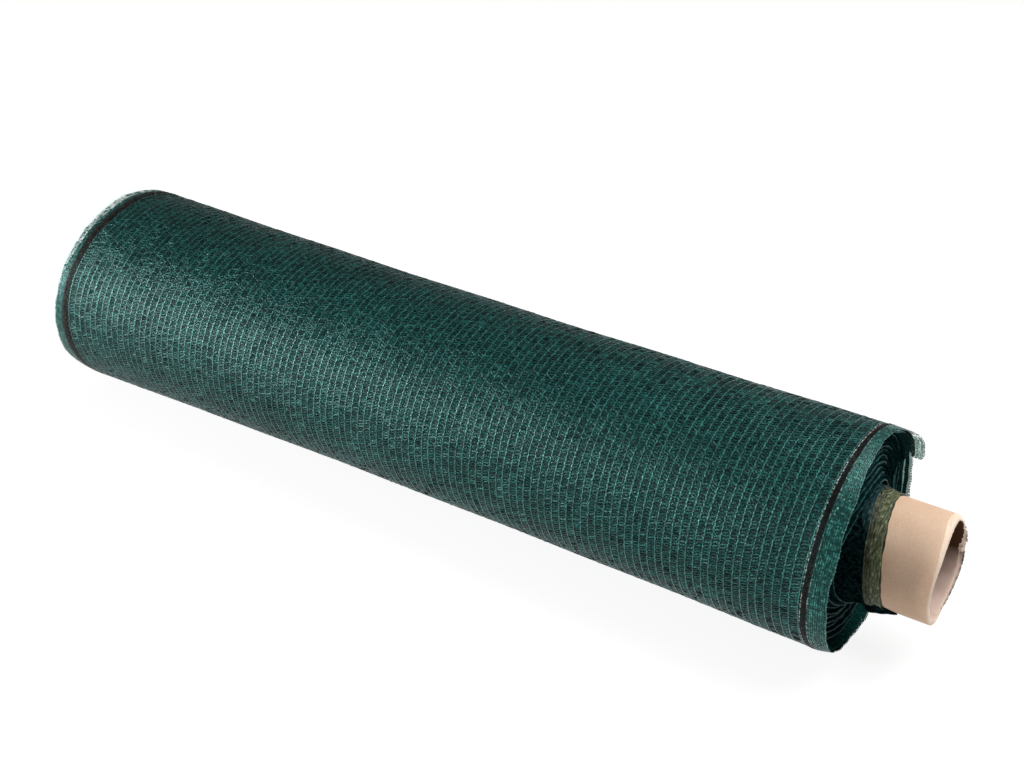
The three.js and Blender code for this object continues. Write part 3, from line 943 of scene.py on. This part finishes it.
def sagging_turn():
    """A fold of an inner turn that hangs below the core, painted near black as the shade under
    it.
    """
    angle = np.arange(SAGGING_TURN[0][0], SAGGING_TURN[-1][0] + 1, 3.0)
    drop = read_table(SAGGING_TURN, angle, FOLD_DROP)
    tip = read_table(SAGGING_TURN, angle, FOLD_TIP)
    start = 30
    thickness = 0.6
    share = np.linspace(0, 1, 12)[:, None]
    ruffle = 0.5 * np.sin(np.radians(angle) * 22) * share
    reach = start + (tip - start) * share + ruffle
    hang = drop * (1 - share**1.6) * blend(0, 0.12, share + 0.06)
    lowered = CORE_RADIUS + 1.4 + hang + 0.25 * np.sin(share * 19 + angle / 9)
    outer = roll_point(-reach, lowered, angle)
    inner = roll_point(-reach, lowered - thickness, angle)
    corners, faces = shell(outer, inner)
    piece = make_piece("collar_fold", corners, faces, SHADED_SAG)
    return piece


def collar():
    """The innermost turns, which step back from the core one by one."""
    collar_turn("collar_inner", OLIVE, back=10, front=0, height=1.7)
    collar_turn("collar_border", DARK_OLIVE, back=0.5, front=-1.1, height=0.9)
    collar_turn("collar_middle", BROWN, back=16.5, front=10, height=2.8)
    collar_turn("collar_outer", DARK_TURN, back=27, front=16.5, height=4.2, low_front=3.4)
    sagging_turn()


# The core

def core_point(along, radius, angle):
    """A point on or in the core's wall."""
    radians = np.radians(angle)
    y = CORE_Y - radius * np.sin(radians)
    z = CORE_Z + radius * np.cos(radians)
    return np.stack(np.broadcast_arrays(STRIPE_X - along, y, z), axis=-1)


def core_board():
    """The cardboard tube, with its worn mouth. Its section runs out through the bore,
    over the mouth and back along the outside."""
    angle = -np.arange(0, FULL_TURN, 2)
    outer = -read_round(CORE_MOUTH, angle, MOUTH_OUTSIDE)
    inner = -read_round(CORE_MOUTH, angle, MOUTH_INSIDE)
    ragged = hump(*WORN_STRETCH, angle)
    fray = ragged * np.abs(rng.normal(0, 0.7, angle.size)) + 0.12 * rng.normal(size=angle.size)
    far = CORE_FAR_ALONG + 0 * angle
    board, cut, bore = range(3)
    rings = [
        (far, BORE_RADIUS, bore),
        (far * 0.5, BORE_RADIUS, bore),
        (inner + 14, BORE_RADIUS, bore),
        (inner + 4, BORE_RADIUS, bore),
        (inner + fray + 0.6, BORE_RADIUS, cut),
        (inner + fray * 0.9, BORE_RADIUS + 0.5, cut),
        (inner + (outer - inner) * 0.35 + fray * 0.4, BORE_RADIUS + 1.9, cut),
        (inner + (outer - inner) * 0.7, BORE_RADIUS + 3.6, cut),
        (outer, CORE_RADIUS - 0.7, cut),
        (outer + 0.3, CORE_RADIUS - 0.25, cut),
        (outer + 0.9, CORE_RADIUS, board),
        (outer + 6, CORE_RADIUS, board),
        (outer + 25, CORE_RADIUS, board),
        (-20 + 0 * outer, CORE_RADIUS, board),
        (far - 1.2, CORE_RADIUS, cut),
        (far, CORE_RADIUS - 1, cut),
        (far, BORE_RADIUS, cut),
    ]
    corners = np.stack([core_point(along, radius, angle) for along, radius, _ in rings])
    faces = grid_faces(*corners.shape[:2], close_columns=True)
    which = np.repeat([[look] for _, _, look in rings[:-1]], angle.size, axis=1)
    lip_face = slice(5, 8)
    # The lip's face at the back takes the bore's look, with its painted shade
    which[lip_face, angle_from_top(angle) < BORE_LIP_END] = bore
    looks = [BOARD, CUT_BOARD, SHADED_BORE]
    piece = make_piece(
        "core_board", corners.reshape(-1, 3), faces[:, ::-1], looks, True, which.ravel())
    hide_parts("core_tube")
    return piece


def core_fray():
    """Loose plies at the mouth: pale flakes at the top of the back, a flake that hangs in, and
    the ragged edge below it, painted dark brown as shade."""
    flakes = []
    looks = []
    torn, cream, shaded_flake = range(3)

    def flake(angle, width, radius, reach, look):
        """A four-sided flake between two angles, radii and reaches."""
        corners = []
        half = width / 2
        around = ((-half, 0), (half, 0), (half * 0.7, 1), (-half, 1))
        for turned, side in around:
            along = -(reach[side] + rng.uniform(-0.3, 0.3))
            corners.append(core_point(along, radius[side], angle + turned))
        flakes.append(np.stack(corners))
        looks.append(look)

    for angle in np.arange(*TORN_STRETCH, 1.4):
        mouth = read_round(CORE_MOUTH, angle, MOUTH_OUTSIDE)
        reach = (mouth - 1, mouth + rng.uniform(0.3, 2.6))
        foot = rng.uniform(BORE_RADIUS + 1, CORE_RADIUS + 0.2)
        radius = (foot, foot + rng.uniform(-2.5, 0.4))
        flake(angle, rng.uniform(1.5, 3.5), radius, reach, torn)
    flake(-97, 4, (BORE_RADIUS + 2.5, BORE_RADIUS - 2.2), (91.5, 91), cream)
    flake(-100, 3, (BORE_RADIUS + 1.5, BORE_RADIUS - 1), (91.8, 92.2), cream)
    for angle in np.arange(*SHADED_STRETCH, 2.2):
        mouth = read_round(CORE_MOUTH, angle, MOUTH_OUTSIDE) + 0.4
        thick = rng.uniform(0.7, 2.9)
        flake(angle, 2.9, (CORE_RADIUS - 0.3 - thick, CORE_RADIUS - 0.1), (mouth, mouth), shaded_flake)
    flake(-174, 2.2, (BORE_RADIUS - 0.4, BORE_RADIUS + 1.4), (93.2, 93.4), shaded_flake)
    corners = np.concatenate(flakes)
    faces = np.arange(len(corners)).reshape(-1, 4)
    looks_used = [TORN_BOARD, CUT_BOARD, DARK_BOARD]
    piece = make_piece("core_fray", corners, faces, looks_used, False, looks)
    return piece


# The loose end

def loose_sheet(threads):
    """The cloth of the loose end, below its threads."""
    thickness = 0.35
    cross = np.linspace(1, STRIPE_SPACING, 120)[:, None]
    outer = cloth_point(cross, LOOSE_WOUND[None, :], SHEET_DEPTH)
    inner = cloth_point(cross, LOOSE_WOUND[None, :], SHEET_DEPTH + thickness)
    piece = make_piece("loose_sheet", *shell(outer, inner), UNDER)
    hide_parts("loose_end")
    return piece


# Putting the cloth together

def selvedge_ground(name, wound, near, far):
    """The close knit below a selvedge's threads, as far out as it hides what is behind
    it. near and far are the share of the selvedge that it covers, all the way along or
    at each station."""
    made = []
    for end, share, sign, start in (("near", near, -1, 0), ("far", far, 1, STRIPE_SPACING)):
        across = np.linspace(0.03, 1, 9)[:, None] * share
        points = cloth_point(start + sign * across * SELVEDGE, wound[None, :], GROUND_DEPTH)
        faces = grid_faces(*points.shape[:2])
        piece = make_piece(f"{name}_{end}_ground", points.reshape(-1, 3), faces, GROUND)
        made.append(piece)
    return made


def near_edge_rows(name, first, last, covered):
    """The open end's stripe, and its selvedge as far out as the share covered."""
    crosses = -SELVEDGE * np.linspace(0.14, 1, SELVEDGE_CHAINS) * covered
    black = (STRIPE, STRIPE)
    green = (SELVEDGE_CHAIN, SELVEDGE_THREAD)
    band = NEAR_STRIPE_CHAINS
    made = laddered_knit(f"{name}_near_stripe", band, first, last, black, STRIPE_WIDTHS)
    for side, place, width, depth in NEAR_STITCHES:
        row = f"{name}_near_{side}_stitch"
        made += chain_rows(row, [place], first, last, STITCH, width, depth)
    return made + laddered_knit(
        f"{name}_near_selvedge", crosses, first, last, green, SELVEDGE_WIDTHS)


def pale_strip(name, shares, first, last, depth):
    """A strip of close knit between two shares of the open end's selvedge, painted pale and
    glowing faintly for the light that shines through it.
    """
    wound = np.arange(first, last + 0.5, 0.5) * COURSE_ANGLE
    across = -SELVEDGE * np.linspace(*shares, 4)
    ragged = 0.25 * rng.normal(size=(across.size, wound.size))
    points = cloth_point(across[:, None] + ragged, wound[None, :], depth + 0.4 * ragged)
    piece = make_piece(name, points.reshape(-1, 3), grid_faces(*points.shape[:2]), FRINGE)
    return [piece]


def corner_fringe():
    """The open last columns of the loose end's selvedge, which hang clear of the roll:
    columns painted pale for the light through them, with dark threads between them, and thin
    rungs."""
    hanging = int(CORNER_ARC / COURSE_ANGLE)
    pale = -SELVEDGE * np.array([0.63, 0.86])
    dark = -SELVEDGE * np.array([0.53, 0.75, 0.98])
    tied = -SELVEDGE * np.array([0.55, 0.77, 0.99])
    cross, wound = chain_nodes(tied, 0, LOOSE_COURSES)
    start = (cross[:-1], wound[:-1])
    end = (cross[1:], wound[1:])
    rungs = tape_bands(start, end, 0.7, np.zeros(start[0].shape, bool), 0.2)
    piece = make_piece("loose_corner_rungs", *rungs, SELVEDGE_CHAIN)
    return (
        pale_strip("loose_corner_inner_strip", (0.55, 0.73), 0, hanging, 0.9)
        + pale_strip("loose_corner_outer_strip", (0.78, 0.95), 0, hanging, 0.9)
        + chain_rows("loose_corner_rest", pale, hanging, LOOSE_COURSES, SELVEDGE_CHAIN, 2.4)
        + chain_rows("loose_corner_dark", dark, 0, LOOSE_COURSES, SELVEDGE_THREAD, 1.2)
        + [piece]
    )


def back_columns():
    """Two columns of the outer turn's selvedge, seen on the inside of the rim, painted pale for
    the light through them.
    """
    first = int((FULL_TURN - RIM_BACK_ARC) / COURSE_ANGLE)
    pale_strip("rim_back_inner_strip", (0.14, 0.32), first, COURSES, 4.2)
    pale_strip("rim_back_outer_strip", (0.7, 0.93), first, COURSES + 4, 2)


def far_edge_rows(name, first, last):
    """The far end's selvedge and stripe."""
    crosses = STRIPE_SPACING + SELVEDGE * np.linspace(0.28, 1, SELVEDGE_CHAINS)
    band = STRIPE_SPACING + np.array(FAR_STRIPE_CHAINS)
    black = (FAR_STRIPE_THREAD, FAR_STRIPE_THREAD)
    green = (SELVEDGE_CHAIN, SELVEDGE_THREAD)
    return (
        laddered_knit(f"{name}_far_stripe", band, first, last, black, STRIPE_WIDTHS)
        + laddered_knit(f"{name}_far_selvedge", crosses, first, last, green, SELVEDGE_WIDTHS)
    )


def far_fringe():
    """Thin see-through threads outside the far selvedge, at the top and the back of it, painted
    pale and glowing faintly for the light through them.
    """
    last = int(FAR_FRINGE_ARC / COURSE_ANGLE)
    crosses = STRIPE_SPACING + SELVEDGE * np.array([1.04, 1.11, 1.18, 1.26])
    cross, wound = chain_nodes(crosses, 0, last)
    start = (cross[:-1, :-1], wound[:-1, :-1])
    end = (cross[1:, 1:], wound[1:, 1:])
    rungs = tape_bands(start, end, 0.45, np.zeros(start[0].shape, bool), 0.2)
    piece = make_piece("far_fringe_rungs", *rungs, FRINGE)
    chain_rows("far_fringe_rows", crosses, 0, last, FRINGE, 0.6)


def cloth():
    """The outermost turn: its loose end first, then the rest of it."""
    between = np.arange(2, WALES - 1) * WALE_PITCH
    filled = np.concatenate([[FIRST_CHAIN], between, [LAST_CHAIN]])
    tucked = COURSES + TUCKED_COURSES
    outer_wound = np.linspace(LOOSE_ARC, FULL_TURN + 40, 200)
    outer_angle = CUT_EDGE_ANGLE + outer_wound
    near_cover = GROUND_COVER - NEAR_THINNED * hump(*NEAR_THIN_STRETCH, outer_angle)
    far_cover = GROUND_COVER - FAR_THINNED * hump(*FAR_THIN_STRETCH, outer_angle)
    loose = (
        main_knit("loose_net", filled, 0, LOOSE_COURSES)
        + near_edge_rows("loose", 0, LOOSE_COURSES, LOOSE_THREADS)
        + corner_fringe()
        + far_edge_rows("loose", 0, LOOSE_COURSES)
        + selvedge_ground("loose", LOOSE_WOUND, LOOSE_NEAR_GROUND, LOOSE_FAR_GROUND)
    )
    main_knit("outer_net", filled, LOOSE_COURSES, COURSES)
    near_edge_rows("outer", LOOSE_COURSES, tucked, OUTER_THREADS)
    chain_rows("outer_near_cord", [-SELVEDGE], LOOSE_COURSES, tucked, EDGE, 1.4)
    back_columns()
    far_fringe()
    far_edge_rows("outer", LOOSE_COURSES, tucked)
    selvedge_ground("outer", outer_wound, near_cover, far_cover)
    return loose


def aim(holder, direction):
    """Turns a lamp or camera to a direction."""
    holder.rotation_euler = Vector(direction).to_track_quat("-Z", "Y").to_euler()


def studio():
    """A white table lit from below, a broad light low at the front left, a soft one from
    above and a weak one at the back right."""
    bpy.ops.mesh.primitive_plane_add(size=FLOOR_SIZE, location=(0, 0, 0))
    floor = bpy.context.object
    floor.name = "floor"
    floor.data.materials.append(light_table_look("studio paper", TABLE_COLOUR, TABLE_GLOW))
    world = bpy.data.worlds.new("studio")
    world.use_nodes = True
    background = world.node_tree.nodes["Background"]
    background.inputs["Color"].default_value = (*WHITE, 1)
    background.inputs["Strength"].default_value = WORLD_LIGHT
    bpy.context.scene.world = world
    for name, place, target, size, power in LAMPS:
        lamp = bpy.data.lights.new(name, "AREA")
        lamp.size = size
        lamp.energy = power
        holder = bpy.data.objects.new(name, lamp)
        bpy.context.scene.collection.objects.link(holder)
        holder.location = place
        aim(holder, Vector(target) - Vector(place))
    bpy.context.scene.view_settings.view_transform = "Standard"


def camera():
    """The photograph's view."""
    view = bpy.data.cameras.new("camera")
    view.lens = CAMERA_LENS
    view.sensor_width = SENSOR_WIDTH
    holder = bpy.data.objects.new("camera", view)
    bpy.context.scene.collection.objects.link(holder)
    holder.location = CAMERA_PLACE
    aim(holder, CAMERA_DIRECTION)
    bpy.context.scene.camera = holder


camera()
studio()
roll_base()
near_layers()
far_layers()
collar()
core_board()
core_fray()
loose_sheet(cloth())
